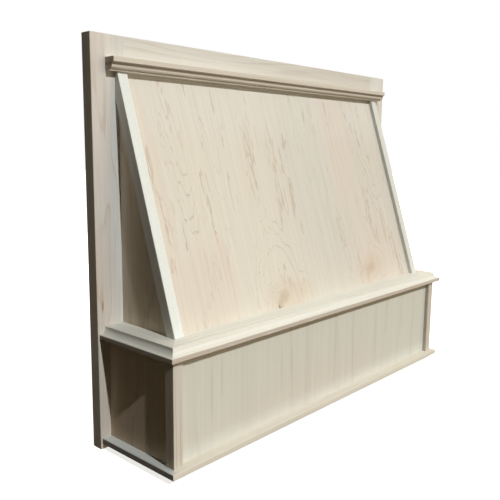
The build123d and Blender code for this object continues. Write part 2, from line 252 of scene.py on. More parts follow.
# ---- node graphs
class Signal:
    """One output in a node tree. Arithmetic on it adds Math nodes."""

    def __init__(self, graph, socket):
        self.graph = graph
        self.socket = socket

    def math(self, operation, *values):
        return self.graph.add("ShaderNodeMath", {"operation": operation}, dict(enumerate(values)))

    def out(self, name):
        return Signal(self.graph, self.socket.node.outputs[name])

    def __add__(self, other):
        return self.math("ADD", self, other)

    def __sub__(self, other):
        return self.math("SUBTRACT", self, other)

    def __rsub__(self, other):
        return self.math("SUBTRACT", other, self)

    def __mul__(self, other):
        return self.math("MULTIPLY", self, other)

    def __truediv__(self, other):
        return self.math("DIVIDE", self, other)

    def __abs__(self):
        return self.math("ABSOLUTE", self)

    __radd__ = __add__
    __rmul__ = __mul__

    def fraction(self):
        return self.math("FRACT", self)

    def greater(self, other):
        return self.math("MAXIMUM", self, other)


class Graph:
    """A material's or the world's node tree, and short ways to add to it."""

    def __init__(self, owner):
        owner.use_nodes = True
        self.tree = owner.node_tree
        self.tree.nodes.clear()

    def add(self, kind, settings=None, values=None, output=0):
        """Add a node with its settings and its sockets' values, and return one output."""
        node = self.tree.nodes.new(kind)
        for key, value in (settings or {}).items():
            setattr(node, key, value)
        for key, value in (values or {}).items():
            if isinstance(value, Signal):
                self.tree.links.new(value.socket, node.inputs[key])
            else:
                node.inputs[key].default_value = value
        return Signal(self, node.outputs[output])

    def end(self, kind, surface):
        """Connect a shader to the tree's output node."""
        node = self.tree.nodes.new(kind)
        self.tree.links.new(surface.socket, node.inputs["Surface"])

    def vector(self, x, y, z):
        return self.add("ShaderNodeCombineXYZ", values={"X": x, "Y": y, "Z": z})

    def noise(self, place, scales, detail=2.0, roughness=0.5):
        """Noise from 0 to 1 with its own scale along each axis, per metre."""
        stretched = self.add("ShaderNodeVectorMath", {"operation": "MULTIPLY"}, {0: place, 1: scales})
        values = {"Vector": stretched, "Scale": 1.0, "Detail": detail, "Roughness": roughness}
        return self.add("ShaderNodeTexNoise", {"noise_dimensions": "3D"}, values)

    def sway(self, place, scales, detail=2.0, roughness=0.5):
        """The same noise about 0."""
        return self.noise(place, scales, detail, roughness) - 0.5

    def rise(self, value, low, high):
        """0 below low and 1 above high, with a smooth slope between."""
        values = {"Value": value, "From Min": low, "From Max": high}
        return self.add("ShaderNodeMapRange", {"interpolation_type": "SMOOTHSTEP"}, values)

    def patches(self, place, scales, detail, low, high):
        """Soft-edged patches where a noise is high."""
        return self.rise(self.noise(place, scales, detail), low, high)

    def mix(self, factor, first, second, mode="MIX"):
        """Mix two colours. A plain one gets its alpha."""
        first, second = (c if isinstance(c, Signal) else (*c, 1.0) for c in (first, second))
        settings = {"data_type": "RGBA", "blend_type": mode}
        return self.add("ShaderNodeMix", settings, {0: factor, 6: first, 7: second}, output=2)

    def dimmed(self, base, red, green, blue):
        """A colour with its channels multiplied."""
        return self.mix(1.0, base, self.vector(red, green, blue), mode="MULTIPLY")

    def surface(self, base, roughness, relief, strength, depth, constants):
        """End a material in its surface shader, with the relief as a bump of that depth."""
        heights = {"Strength": strength, "Distance": depth, "Height": relief}
        bump = self.add("ShaderNodeBump", values=heights)
        values = {"Base Color": base, "Roughness": roughness, "Normal": bump, **constants}
        self.end("ShaderNodeOutputMaterial", self.add("ShaderNodeBsdfPrincipled", values=values))

    def seen(self, kind, unseen, shown):
        """End in one shader for the camera, mirrors and glass, and another for the light."""
        rays = self.add("ShaderNodeLightPath", output="Is Camera Ray")
        eye = rays.greater(rays.out("Is Glossy Ray")).greater(rays.out("Is Transmission Ray"))
        self.end(kind, self.add("ShaderNodeMixShader", values={0: eye, 1: unseen, 2: shown}))


def new_material(name):
    """A new material and its empty graph."""
    material = bpy.data.materials.new(name)
    return material, Graph(material)


# ---- finishes
def wood_place(graph, grain, across, seed, tilt):
    """Object coordinates along the grain, across it and through the board, and all three."""
    place = graph.add("ShaderNodeTexCoord", output="Object")
    if tilt:
        place = graph.add("ShaderNodeMapping", values={"Vector": place, "Rotation": (tilt, 0, 0)})
    parts = graph.add("ShaderNodeSeparateXYZ", values={"Vector": place})
    through = ({"X", "Y", "Z"} - {grain, across}).pop()
    along, wide, deep = parts.out(grain), parts.out(across), parts.out(through) + seed
    return along, wide, deep, graph.vector(along, wide, deep)


def spot(graph, along, wide, centre, size):
    """1 at the centre and 0 beyond an ellipse. Centre and size are along and across."""
    first = (along - centre[0]) / size[0]
    second = (wide - centre[1]) / size[1]
    return 1 - graph.rise(first * first + second * second, 0.0, 1.0)


def painted_shade_on_face(place, tint_colour, strength, width=SKIN):
    """Painted shade on a board's outer face, or on a band all along it, by its place across."""
    return (0.0, place), (BEYOND, width), tint_colour, strength


def maple(
    name, grain, across, seed, tilt=0.0, tone="cream", blush=0.4, silver=0.25, pale=0.0, cast=0.0,
    rings=(0.006, 0.30, 0.8, 0.35), figure=(0.02, 0.9, 14.0), blush_scale=(0.6, 14.0), jag=0.0015,
    warp=0.0, fleck=0.0, grainy=0.12, swells=(), tints=(),
):
    """Bare sanded maple. Growth rings are the contours of a slow swell in the wood, the
    figure: its height, and its scale along the grain and across. The rings have a pitch, a
    strength, a slant and a width. The swells raise the figure, and the tints colour the wood,
    each in an ellipse of its own. Several tints, and the cast on the side panels, are painted shade."""
    ring_pitch, ring_strength, ring_slant, ring_width = rings
    figure_height, *figure_scale = figure
    colours = bpy.context.scene.hood_cover_colours
    material, graph = new_material(name)
    along, wide, deep, place = wood_place(graph, grain, across, seed, tilt)

    # The swell of the growth rings, and the jags and bends of their lines.
    swell = graph.sway(place, (*figure_scale, 9.0), 1.5, 0.45) * figure_height
    jags = graph.sway(place, (14.0, 90.0, 90.0), 2.0, 0.55) * jag
    level = swell + jags + deep * 0.35
    bent_along, bent_wide = along, wide + jags * 1.4
    if warp:
        bent_along = along + graph.sway(place, (15.0, 26.0, 9.0)) * warp
        bent_wide = bent_wide + graph.sway(place, (9.0, 19.0, 15.0), 1.0) * warp * 0.4
    for centre, size, height in swells:
        level = level + spot(graph, bent_along, bent_wide, centre, size) * height

    # A ring darkens slowly into its late wood and ends sharply.
    crest = 0.94
    ring = ((level + wide * ring_slant) / ring_pitch).fraction()
    late = graph.rise(ring, crest - ring_width, crest) * (1 - graph.rise(ring, crest, 1.0))
    dark = late * (graph.patches(place, (4.0, 26.0, 26.0), 1.0, 0.36, 0.64) * 0.8 + 0.2)

    # Fibres, fine pores and the slow change of tone across the board.
    fibre = graph.noise(place, (7.0, 420.0, 420.0), 3.0, 0.6)
    strands = graph.sway(place, (2.4, 130.0, 130.0), 3.0, 0.62)
    pores = graph.patches(place, (95.0, 1500.0, 1500.0), 1.0, 0.62, 0.74)
    warm = graph.patches(place, (*blush_scale, 8.0), 2.0, 0.66 - blush * 0.5, 1.02 - blush * 0.5)
    cool = graph.patches(place, (0.7, 17.0, 9.0), 2.0, 0.38, 0.72)

    plain = tuple(a + (b - a) * pale for a, b in zip(getattr(colours, tone), colours.bleached))
    base = graph.mix(warm * (1 - pale * 0.8), plain, colours.blush)
    base = graph.mix(cool * silver, base, colours.silver)
    # Tints in ellipses: grain marks and streaks, and painted shade on shaded side faces, under the
    # shelf's lip, in the crown's cove and towards the right of the rail and the sloping panel.
    for centre, size, tint_colour, strength in tints:
        mask = spot(graph, bent_along + jags * 2.0, bent_wide, centre, size)
        base = graph.mix(mask * strength, base, getattr(colours, tint_colour))
    # An even brown over the whole board; on the cheek and apron side panels it is painted shade.
    if cast:
        base = graph.mix(cast, base, colours.tan)
    base = graph.mix(dark * ring_strength, base, colours.line)
    base = graph.mix(pores * 0.12, base, colours.line)
    if fleck:
        rays = graph.patches(place, (260.0, 620.0, 620.0), 1.0, 0.56, 0.66)
        base = graph.mix(rays * fleck, base, colours.silver)
    shade = 1.0 - grainy * 0.5 + strands * grainy * 2.0 + fibre * grainy
    base = graph.dimmed(base, shade, shade, shade)
    relief = fibre * 0.6 - dark * 0.5 - pores * 0.4
    roughness = 0.74 + fibre * 0.12 - dark * 0.05
    graph.surface(base, roughness, relief, 0.25, 0.0004, {"Specular IOR Level": 0.1})
    return material


def sawn(name, grain, across, seed, tilt=0.0):
    """Sawn softwood of the cleats, with faint saw marks across the grain."""
    colours = bpy.context.scene.hood_cover_colours
    material, graph = new_material(name)
    along, wide, deep, place = wood_place(graph, grain, across, seed, tilt)
    ring_pitch, saw_pitch = 0.0032, 0.0031
    swell = graph.sway(place, (1.4, 16.0, 16.0), 1.0) * 0.03
    ring = ((swell + wide * 0.5 + deep * 0.3) / ring_pitch).fraction()
    late = graph.rise(ring, 0.35, 0.9) * (1 - graph.rise(ring, 0.92, 1.0))
    fibre = graph.noise(place, (18.0, 700.0, 700.0), 3.0, 0.6)
    marks = ((along + graph.noise(place, (20.0, 60.0, 60.0), 1.0) * 0.002) / saw_pitch).fraction()
    marks = graph.rise(abs(marks - 0.5), 0.25, 0.5)
    base = graph.mix(late * 0.35, colours.cleat, colours.line)
    shade = 0.88 + fibre * 0.2 - marks * 0.05
    base = graph.dimmed(base, shade, shade, shade)
    relief = fibre - marks * 0.8
    graph.surface(base, 0.72 + fibre * 0.12, relief, 0.5, 0.0005, {"Specular IOR Level": 0.1})
    return material


def zinc(name):
    """Zinc plated steel of the screws."""
    material, graph = new_material(name)
    place = graph.add("ShaderNodeTexCoord", output="Object")
    cloud = graph.noise(place, (900.0, 900.0, 900.0), 2.0)
    scratch = graph.noise(place, (300.0, 4000.0, 4000.0), 1.0)
    shade = 0.8 + cloud * 0.35
    base = graph.dimmed(bpy.context.scene.hood_cover_colours.steel, shade, shade, shade * 0.97)
    graph.surface(base, 0.3 + cloud * 0.2, scratch, 0.15, 0.0001, {"Metallic": 0.95})
    return material


# ---- modelling by hand
def put_down():
    """Leave edit mode and let go of everything."""
    if bpy.context.object and bpy.context.object.mode != "OBJECT":
        bpy.ops.object.mode_set(mode="OBJECT")
    bpy.ops.object.select_all(action="DESELECT")


def take_up(piece):
    """Make the piece the only one that is selected, and active."""
    put_down()
    piece.select_set(True)
    bpy.context.view_layer.objects.active = piece


def opened(piece):
    """Take the piece into edit mode with all of it selected."""
    take_up(piece)
    bpy.ops.object.mode_set(mode="EDIT")
    bpy.ops.mesh.select_all(action="SELECT")


def closed():
    """Turn all faces outwards and leave edit mode."""
    bpy.ops.mesh.select_all(action="SELECT")
    bpy.ops.mesh.normals_make_consistent(inside=False)
    bpy.ops.object.mode_set(mode="OBJECT")


def settled(name):
    """Name the active piece, with its place, turn and scale taken into its mesh."""
    bpy.ops.object.transform_apply(location=True, rotation=True, scale=True)
    piece = bpy.context.object
    piece.name = piece.data.name = name
    return piece


def facing(direction):
    """Rotation that points a piece's Z along the direction."""
    return Vector(direction).to_track_quat("Z", "Y").to_euler()


def block(name, low, high):
    """A block between two corners."""
    put_down()
    middle = (Vector(low) + Vector(high)) / 2
    bpy.ops.mesh.primitive_cube_add(size=1, location=middle, scale=Vector(high) - Vector(low))
    return settled(name)


def drawn(name, strokes, sweep=None):
    """Draw an outline with a vertex, stroke by stroke, fill it and pull it out along the
    sweep. It starts where the last stroke ends. A stroke is the next corner, or a round:
    its centre, axis, angle and end."""
    put_down()
    here = Vector(strokes[-1])
    bpy.ops.mesh.primitive_plane_add(size=0.001, location=here)
    piece = settled(name)
    steps = bpy.context.scene.hood_cover_sizes.round_steps
    bpy.ops.object.mode_set(mode="EDIT")
    bpy.ops.mesh.merge(type="CENTER")
    for stroke in strokes:
        if len(stroke) == 4:
            centre, axis, angle, end = stroke
            bpy.ops.mesh.spin(steps=steps, angle=angle, center=centre, axis=axis)
            here = Vector(end)
        else:
            bpy.ops.mesh.extrude_vertices_move(TRANSFORM_OT_translate={"value": Vector(stroke) - here})
            here = Vector(stroke)
    bpy.ops.mesh.select_all(action="SELECT")
    bpy.ops.mesh.remove_doubles(threshold=WELD)
    if sweep is not None:
        bpy.ops.mesh.edge_face_add()
        bpy.ops.mesh.extrude_region_move(TRANSFORM_OT_translate={"value": sweep})
        closed()
    else:
        bpy.ops.object.mode_set(mode="OBJECT")
    return piece


def trimmed(piece, point, outward):
    """Saw the piece through the point and drop what lies outward of the cut."""
    opened(piece)
    bpy.ops.mesh.bisect(plane_co=point, plane_no=outward, use_fill=True, clear_outer=True)
    closed()


def drilled(piece, cutter):
    """Cut the cutter's shape out of the piece and throw the cutter away."""
    take_up(piece)
    cut = piece.modifiers.new("Hole", "BOOLEAN")
    cut.operation = "DIFFERENCE"
    cut.solver = "EXACT"
    cut.object = cutter
    bpy.ops.object.modifier_apply(modifier=cut.name)
    bpy.data.objects.remove(cutter)


def joined(name, parts):
    """Make one piece out of several."""
    take_up(parts[0])
    for part in parts:
        part.select_set(True)
    bpy.ops.object.join()
    piece = bpy.context.object
    piece.name = piece.data.name = name
    return piece


def eased(piece, radius, segments=3):
    """Round the piece's sharp edges, and return it."""
    take_up(piece)
    bevel = piece.modifiers.new("Eased edges", "BEVEL")
    bevel.width = radius
    bevel.segments = segments
    bevel.limit_method = "ANGLE"
    bevel.angle_limit = EASED_ANGLE
    bevel.use_clamp_overlap = True
    bpy.ops.object.modifier_apply(modifier=bevel.name)
    return piece


def fitted(piece, nodes, material):
    """Give the piece its shading and finish, and let it stand for its pieces of the
    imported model."""
    take_up(piece)
    bpy.ops.object.shade_smooth_by_angle(angle=SMOOTH_ANGLE)
    weighted = piece.modifiers.new("Flat faces", "WEIGHTED_NORMAL")
    weighted.keep_sharp = True
    bpy.ops.object.modifier_apply(modifier=weighted.name)
    piece.data.materials.clear()
    piece.data.materials.append(material)
    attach(piece, "root")
    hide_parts(*nodes)
    put_down()


def spread(count, low, high):
    """Places spaced evenly from low to high, both ends included."""
    return [low + (high - low) * place / (count - 1) for place in range(count)]


def round_cutter(start, direction, radius, depth):
    """A round cutter from a start point into the wood."""
    put_down()
    direction = Vector(direction).normalized()
    bpy.ops.mesh.primitive_cylinder_add(
        vertices=DRILL_FACES, radius=radius, depth=depth,
        location=Vector(start) + direction * (depth / 2), rotation=facing(direction),
    )
    return settled("cutter")


def screw(name, head_radius, head_height, rim):
    """A screw with a cross recess: its head's top at the origin, its tip towards +Z. The
    rim is the share of the head's height that isn't tapered."""
    sizes = bpy.context.scene.hood_cover_sizes
    shank, reach = sizes.screw_radius, sizes.screw_length
    root = shank * THREAD_ROOT
    strokes = [(head_radius, 0, 0), (head_radius, 0, head_height * rim), (shank, 0, head_height)]
    thread_start, thread_end = head_height + THREAD_STARTS, reach - THREAD_ENDS
    pitch = (thread_end - thread_start) / THREAD_TURNS
    for turn in range(THREAD_TURNS):
        z = thread_start + turn * pitch
        strokes += [(root, 0, z), (shank, 0, z + pitch * 0.5)]
    strokes += [(root, 0, thread_end), (0, 0, reach)]
    piece = drawn(name, [*strokes, (0, 0, 0)])
    opened(piece)
    bpy.ops.mesh.spin(steps=SCREW_FACES, angle=radians(360), center=(0, 0, 0), axis=(0, 0, 1))
    bpy.ops.mesh.select_all(action="SELECT")
    bpy.ops.mesh.remove_doubles(threshold=WELD / 2)
    closed()
    arm, web, deep = head_radius * 0.62, head_radius * 0.13, head_height * 0.62
    for x, y in ((arm, web), (web, arm)):
        drilled(piece, block("recess", (-x, -y, -deep), (x, y, deep)))
    return piece


def driven(original, place, direction, name):
    """A copy of a screw with its own mesh, its head at the place."""
    copy = original.copy()
    copy.data = original.data.copy()
    bpy.context.collection.objects.link(copy)
    copy.location = place
    copy.rotation_euler = facing(direction)
    take_up(copy)
    return settled(name)


# ---- pieces and their operators
class HOODCOVER_OT_stiles(bpy.types.Operator):
    """The two upright members of the back frame, with the holes for the cabinet screws"""

    bl_idname = "hood_cover.stiles"
    bl_label = "Stiles"

    def execute(self, context):
        sizes = context.scene.hood_cover_sizes
        middle, hole_x, spacing, _ = bolt_pattern("cabinet_screws")
        for hand, side in HANDS:
            low, high = corners_of(f"{hand}_stile")
            spare = sizes.board_ease * 2
            if side < 0:
                high.x += spare
            else:
                low.x -= spare
            piece = eased(block(f"stile_{hand}", low, high), sizes.board_ease)
            trimmed(piece, (side * opening_half, 0, 0), (-side, 0, 0))
            for z in (middle.z - spacing, middle.z + spacing):
                start = (side * hole_x, sizes.pilot_depth, z)
                depth = sizes.pilot_depth * 2
                drilled(piece, round_cutter(start, (0, -1, 0), sizes.pilot_radius, depth))
            edge = side * frame_half
            wood = maple(
                f"maple_stile_{hand}", "Z", "X", 0.7 * side, tone="frost", blush=0.22, silver=0.10,
                rings=(0.0052, 0.26, 0.28, 0.22), figure=(0.034, 3.4, 24.0),
                tints=(
                    ((-0.10, edge), (0.70, 0.042), "blush", 0.40 if side < 0 else 0.1),
                    # Painted shade: on the outer side face, a cool grey band beside the cheek, and
                    # darker and browner towards the foot below the shelf.
                    painted_shade_on_face(edge, "line", 0.50),
                    ((-0.25, edge - side * 0.060), (0.50, 0.030), "pewter", 0.35),
                    ((-0.42, edge), (0.200, 0.060), "tan", 0.22),
                    ((-0.60, edge), (0.130, 0.050), "line", 0.55),
                    ((-0.55, edge), (0.150, 0.050), "haze", 0.60),
                    ((-0.407, -0.4455), (0.013, 0.0022), "streak", 0.75),
                    ((-0.395, -0.4470), (0.030, 0.0045), "tan", 0.5),
                ),
            )
            fitted(piece, [f"{hand}_stile"], wood)
        return {"FINISHED"}


def pocket_seats(sizes):
    """Places and directions of the pocket screws at both ends of the top rail."""
    slant = sizes.pocket_angle
    setback = sizes.pocket_shoulder + POCKET_HEAD_HEIGHT
    seats = []
    for side in SIDES:
        x = side * (opening_half - setback * cos(slant))
        y = -frame_stock / 2 + setback * sin(slant)
        direction = Vector((side * cos(slant), -sin(slant), 0))
        for z in (-sizes.pocket_spacing / 2, sizes.pocket_spacing / 2):
            seats.append((Vector((x, y, z)), direction))
    return seats


class HOODCOVER_OT_top_rail(bpy.types.Operator):
    """The rail across the top of the back frame, with its pockets behind"""

    bl_idname = "hood_cover.top_rail"
    bl_label = "Top rail"

    def execute(self, context):
        sizes = context.scene.hood_cover_sizes
        joint = Vector((sizes.board_ease * 2, 0, 0))
        piece = eased(block("rail_top", rail_low - joint, rail_high + joint), sizes.board_ease)
        for side in SIDES:
            trimmed(piece, (side * opening_half, 0, 0), (side, 0, 0))
        reach = sizes.pocket_length + sizes.screw_head_height
        for place, direction in pocket_seats(sizes):
            start = place - direction * sizes.pocket_length
            drilled(piece, round_cutter(start, direction, sizes.pocket_radius, reach))
        wood = maple(
            "maple_top_rail", "X", "Z", 0.4, tone="frost", blush=0.12, silver=0.10,
            rings=(0.0045, 0.24, 0.30, 0.40), figure=(0.024, 2.2, 22.0),
            tints=(
                # Painted shade: the rail darker towards its right end.
                ((0.460, 0.0), (0.650, 0.200), "haze", 0.75),
                ((0.030, -0.245), (0.004, 0.003), "line", 0.35),
            ),
        )
        fitted(piece, ["top_rail"], wood)
        return {"FINISHED"}


class HOODCOVER_OT_crown(bpy.types.Operator):
    """The small moulding across the top: fascia, cove, ovolo, quirk and bead"""

    bl_idname = "hood_cover.crown"
    bl_label = "Crown moulding"

    def execute(self, context):
        sizes = context.scene.hood_cover_sizes
        x, top, bottom = crown_low.x, crown_high.z, crown_low.z
        front, back = crown_low.y, crown_high.y
        along = (1, 0, 0)
        fascia = top - sizes.crown_fascia
        cove = (front + sizes.crown_cove, fascia - sizes.crown_cove)
        ovolo = (cove[0] + sizes.crown_ovolo_depth, cove[1] - sizes.crown_ovolo)
        swell = (sizes.crown_ovolo_depth**2 + sizes.crown_ovolo**2) / (2 * sizes.crown_ovolo_depth)
        step_y, step_z = ovolo[0] + sizes.crown_quirk_depth, ovolo[1] - sizes.crown_quirk
        bead = (x, step_y, step_z - sizes.crown_bead / 2)
        strokes = [
            (x, back, top),
            (x, front, top),
            (x, front, fascia),
            ((x, front, cove[1]), along, radians(90), (x, *cove)),
            ((x, cove[0] + swell, cove[1]), along, -asin(sizes.crown_ovolo / swell), (x, *ovolo)),
            (x, step_y, ovolo[1]),
            (x, step_y, step_z),
            (bead, along, radians(-180), (x, step_y, bottom)),
            (x, back, bottom),
        ]
        piece = drawn("crown", strokes, sweep=(crown_high.x - crown_low.x, 0, 0))
        eased(piece, sizes.crown_ease, 2)
        wood = maple(
            "maple_crown", "X", "Z", 1.1, blush=0.15, silver=0.15, cast=0.06, jag=0.0006,
            rings=(0.0028, 0.32, 0.6, 0.35), figure=(0.010, 0.9, 14.0),
            tints=(
                # Painted shade: darker in the cove under the fascia and on the left end face.
                painted_shade_on_face(0.0048, "streak", 0.50, width=0.0036),
                ((crown_low.x, 0.0040), (0.0012, 0.0300), "streak", 0.62),
                ((-0.362, 0.0085), (0.0016, 0.0010), "streak", 0.7),
            ),
        )
        fitted(piece, ["crown_moulding", "crown_brads"], wood)
        return {"FINISHED"}


class HOODCOVER_OT_cheeks(bpy.types.Operator):
    """The sloping sides: a proud strip in front of a recessed triangular panel"""

    bl_idname = "hood_cover.cheeks"
    bl_label = "Cheeks"

    def execute(self, context):
        sizes = context.scene.hood_cover_sizes
        head = strip_high.z
        for hand, side in HANDS:
            x = side * body_half
            strokes = [
                on_slope(x, stock, shelf_top),
                on_frame(x, stock),
                (x, frame_face, head),
                on_slope(x, 0, head),
                on_slope(x, 0, shelf_top),
            ]
            strip = drawn(f"cheek_strip_{hand}", strokes, sweep=(-side * stock, 0, 0))
            eased(strip, sizes.board_ease)
            wood = maple(
                f"maple_cheek_strip_{hand}", "Z", "X", 0.9 * side, tilt=lean,
                tone="cream" if side < 0 else "silver", pale=0.95 if side < 0 else 0.35, blush=0.1,
                silver=0.25, fleck=0.35, grainy=0.08, jag=0.001,
                rings=(0.004, 0.08 if side < 0 else 0.16, 0.8, 0.35), figure=(0.01, 0.9, 14.0),
                # Painted shade on the strip's outer side face.
                tints=(painted_shade_on_face(x, "line", 0.40),),
            )
            fitted(strip, [f"{hand}_cheek_strip"], wood)
            low, high = corners_of(f"{hand}_cheek_panel")
            x = high.x if side > 0 else low.x
            strokes = [on_slope(x, stock, shelf_top), on_frame(x, stock), (x, frame_face, shelf_top)]
            panel = drawn(f"cheek_panel_{hand}", strokes, sweep=(-side * (high.x - low.x), 0, 0))
            eased(panel, sizes.panel_ease)
            # The cast and the all-over line are painted shade: the panel darker and browner.
            wood = maple(
                f"maple_cheek_panel_{hand}", "Z", "Y", 0.35 * side, blush=0.6, cast=0.44, jag=0.006,
                rings=(0.011, 0.30, 0.06, 0.25), figure=(0.06, 2.0, 10.0),
                tints=((*ALL_OVER, "line", 0.10),),
            )
            fitted(panel, [f"{hand}_cheek_panel"], wood)
        return {"FINISHED"}


def slope_figure(foot, top, left):
    """Swells and tints of the sloping panel's veneer: two swirls at the foot, the long
    loops above them, a knot and short streaks, and painted shade that darkens the right part."""
    swells = (
        ((top - 0.010, left + 0.082), (0.320, 0.046), 0.032),
        ((top - 0.010, left + 0.170), (0.290, 0.034), 0.024),
        ((foot, left + 0.280), (0.215, 0.080), 0.026),
        ((foot, left + 0.262), (0.060, 0.050), 0.024),
        ((foot, left + 0.362), (0.085, 0.026), 0.014),
        ((top - 0.150, left + 0.457), (0.125, 0.022), 0.020),
        ((top - 0.110, left + 0.392), (0.050, 0.012), 0.012),
        ((foot + 0.160, left + 0.560), (0.090, 0.030), 0.016),
        ((top, left + 0.712), (0.300, 0.090), 0.034),
        ((foot + 0.018, left + 0.580), (0.045, 0.062), 0.017),
        ((foot + 0.046, left + 0.648), (0.052, 0.044), 0.011),
    )
    tints = (
        # Painted shade: the right part of the panel darker and greyer.
        ((foot + 0.230, left + 0.640), (0.500, 0.420), "haze", 0.80),
        ((top, 0.0), (0.130, 2.0), "frost", 0.45),
        ((foot + 0.230, left), (0.400, 0.045), "blush", 0.45),
        ((foot + 0.050, left + 0.080), (0.130, 0.100), "blush", 0.45),
        ((foot + 0.330, left + 0.590), (0.240, 0.085), "blush", 0.45),
        ((foot + 0.060, left + 0.660), (0.140, 0.150), "blush", 0.45),
        ((foot + 0.015, left + 0.300), (0.055, 0.100), "tan", 0.28),
        ((foot + 0.040, left + 0.610), (0.045, 0.070), "tan", 0.28),
        ((foot + 0.120, left + 0.138), (0.060, 0.016), "blush", 0.6),
        ((foot + 0.300, left + 0.460), (0.260, 0.110), "silver", 0.45),
        ((foot + 0.016, left + 0.276), (0.022, 0.028), "line", 0.34),
        ((foot + 0.035, left + 0.612), (0.020, 0.026), "line", 0.30),
        ((foot + 0.006, left + 0.260), (0.010, 0.0030), "streak", 0.85),
        ((foot + 0.163, left + 0.136), (0.005, 0.0014), "streak", 0.85),
        ((top - 0.105, left + 0.393), (0.013, 0.0022), "line", 0.50),
        ((top - 0.112, left + 0.402), (0.008, 0.0060), "line", 0.30),
        ((top - 0.032, left + 0.197), (0.020, 0.0028), "line", 0.45),
        ((top - 0.046, left + 0.485), (0.022, 0.0022), "line", 0.35),
        ((top - 0.175, left + 0.253), (0.008, 0.0022), "line", 0.30),
        ((top - 0.205, left + 0.270), (0.009, 0.0022), "line", 0.28),
        ((top - 0.250, left + 0.617), (0.016, 0.0022), "line", 0.35),
    )
    return {"swells": swells, "tints": tints}


class HOODCOVER_OT_slope_panel(bpy.types.Operator):
    """The big sloping plywood panel of the front"""

    bl_idname = "hood_cover.slope_panel"
    bl_label = "Sloping panel"

    def execute(self, context):
        x = panel_low.x
        strokes = [
            on_slope(x, stock, shelf_top),
            on_frame(x, stock),
            on_frame(x, front_recess),
            on_slope(x, front_recess, shelf_top),
        ]
        piece = drawn("slope_front", strokes, sweep=(panel_high.x - panel_low.x, 0, 0))
        eased(piece, context.scene.hood_cover_sizes.panel_ease)
        foot = Vector((0, *on_slope(x, front_recess, shelf_top)[1:])).dot(slope_up)
        wood = maple(
            "maple_slope_panel", "Z", "X", 0.31, tilt=lean, blush=0.25, blush_scale=(1.6, 8.0),
            silver=0.2, grainy=0.09, jag=0.010, warp=0.060, rings=(0.0075, 0.42, 0.09, 0.13),
            figure=(0.026, 2.4, 9.0),
            **slope_figure(foot, foot + slope_length, x),
        )
        fitted(piece, ["slope_panel"], wood)
        return {"FINISHED"}


def shelf_board(name, start, inward, wide, sweep):
    """A shelf board with its lip and cove, drawn at one end and pulled out along sweep.
    start is the nose's bottom corner and inward the unit vector towards the middle."""
    sizes = bpy.context.scene.hood_cover_sizes
    up = Vector((0, 0, 1))
    thick = up * (shelf_top - shelf_bottom)
    start, inward = Vector(start), Vector(inward)
    lip = start + up * sizes.nose_lip
    cove_end = start + inward * sizes.nose_cove + up * (sizes.nose_lip + sizes.nose_cove)
    strokes = [
        lip,
        (lip + up * sizes.nose_cove, inward.cross(up), radians(-90), cove_end),
        start + inward * sizes.nose_cove + thick,
        start + inward * wide + thick,
        start + inward * wide,
        start,
    ]
    return drawn(name, strokes, sweep=sweep)


class HOODCOVER_OT_shelf(bpy.types.Operator):
    """The mantel shelf: three coved boards, mitred at the front corners"""

    bl_idname = "hood_cover.shelf"
    bl_label = "Shelf"

    def execute(self, context):
        sizes = context.scene.hood_cover_sizes
        nose_half, nose_front = shelf_high.x, shelf_low.y
        start = (-nose_half, nose_front, shelf_bottom)
        depth = shelf_high.y - shelf_low.y
        front = shelf_board("shelf_front", start, (0, 1, 0), depth, (2 * nose_half, 0, 0))
        eased(front, sizes.board_ease)
        for side in SIDES:
            trimmed(front, (side * nose_half, nose_front, shelf_bottom), (side, 1, 0))
        wood = maple(
            "maple_shelf_front", "X", "Y", 0.8, blush=0.1, silver=0.05, pale=0.45,
            rings=(0.0050, 0.16, 0.5, 0.35), figure=(0.02, 1.5, 16.0),
            # Painted shade on the front face of the lip.
            tints=(painted_shade_on_face(nose_front, "line", 0.52),),
        )
        fitted(front, ["front_shelf"], wood)
        side_low, side_high = corners_of("left_shelf")
        sweep = (0, nose_front - frame_face, 0)
        for hand, side in HANDS:
            start = (side * nose_half, frame_face, shelf_bottom)
            board = shelf_board(f"shelf_{hand}", start, (-side, 0, 0), side_high.x - side_low.x, sweep)
            eased(board, sizes.board_ease)
            trimmed(board, (side * nose_half, nose_front, shelf_bottom), (-side, -1, 0))
            wood = maple(
                f"maple_shelf_{hand}", "Y", "X", 0.5 * side, tone="silver" if side < 0 else "cream",
                blush=0.1, silver=0.2, rings=(0.0042, 0.28, 0.6, 0.35),
                # Painted shade on the outer side face of the lip.
                tints=(painted_shade_on_face(side * nose_half, "streak", 0.54),),
            )
            fitted(board, [f"{hand}_shelf"], wood)
        return {"FINISHED"}


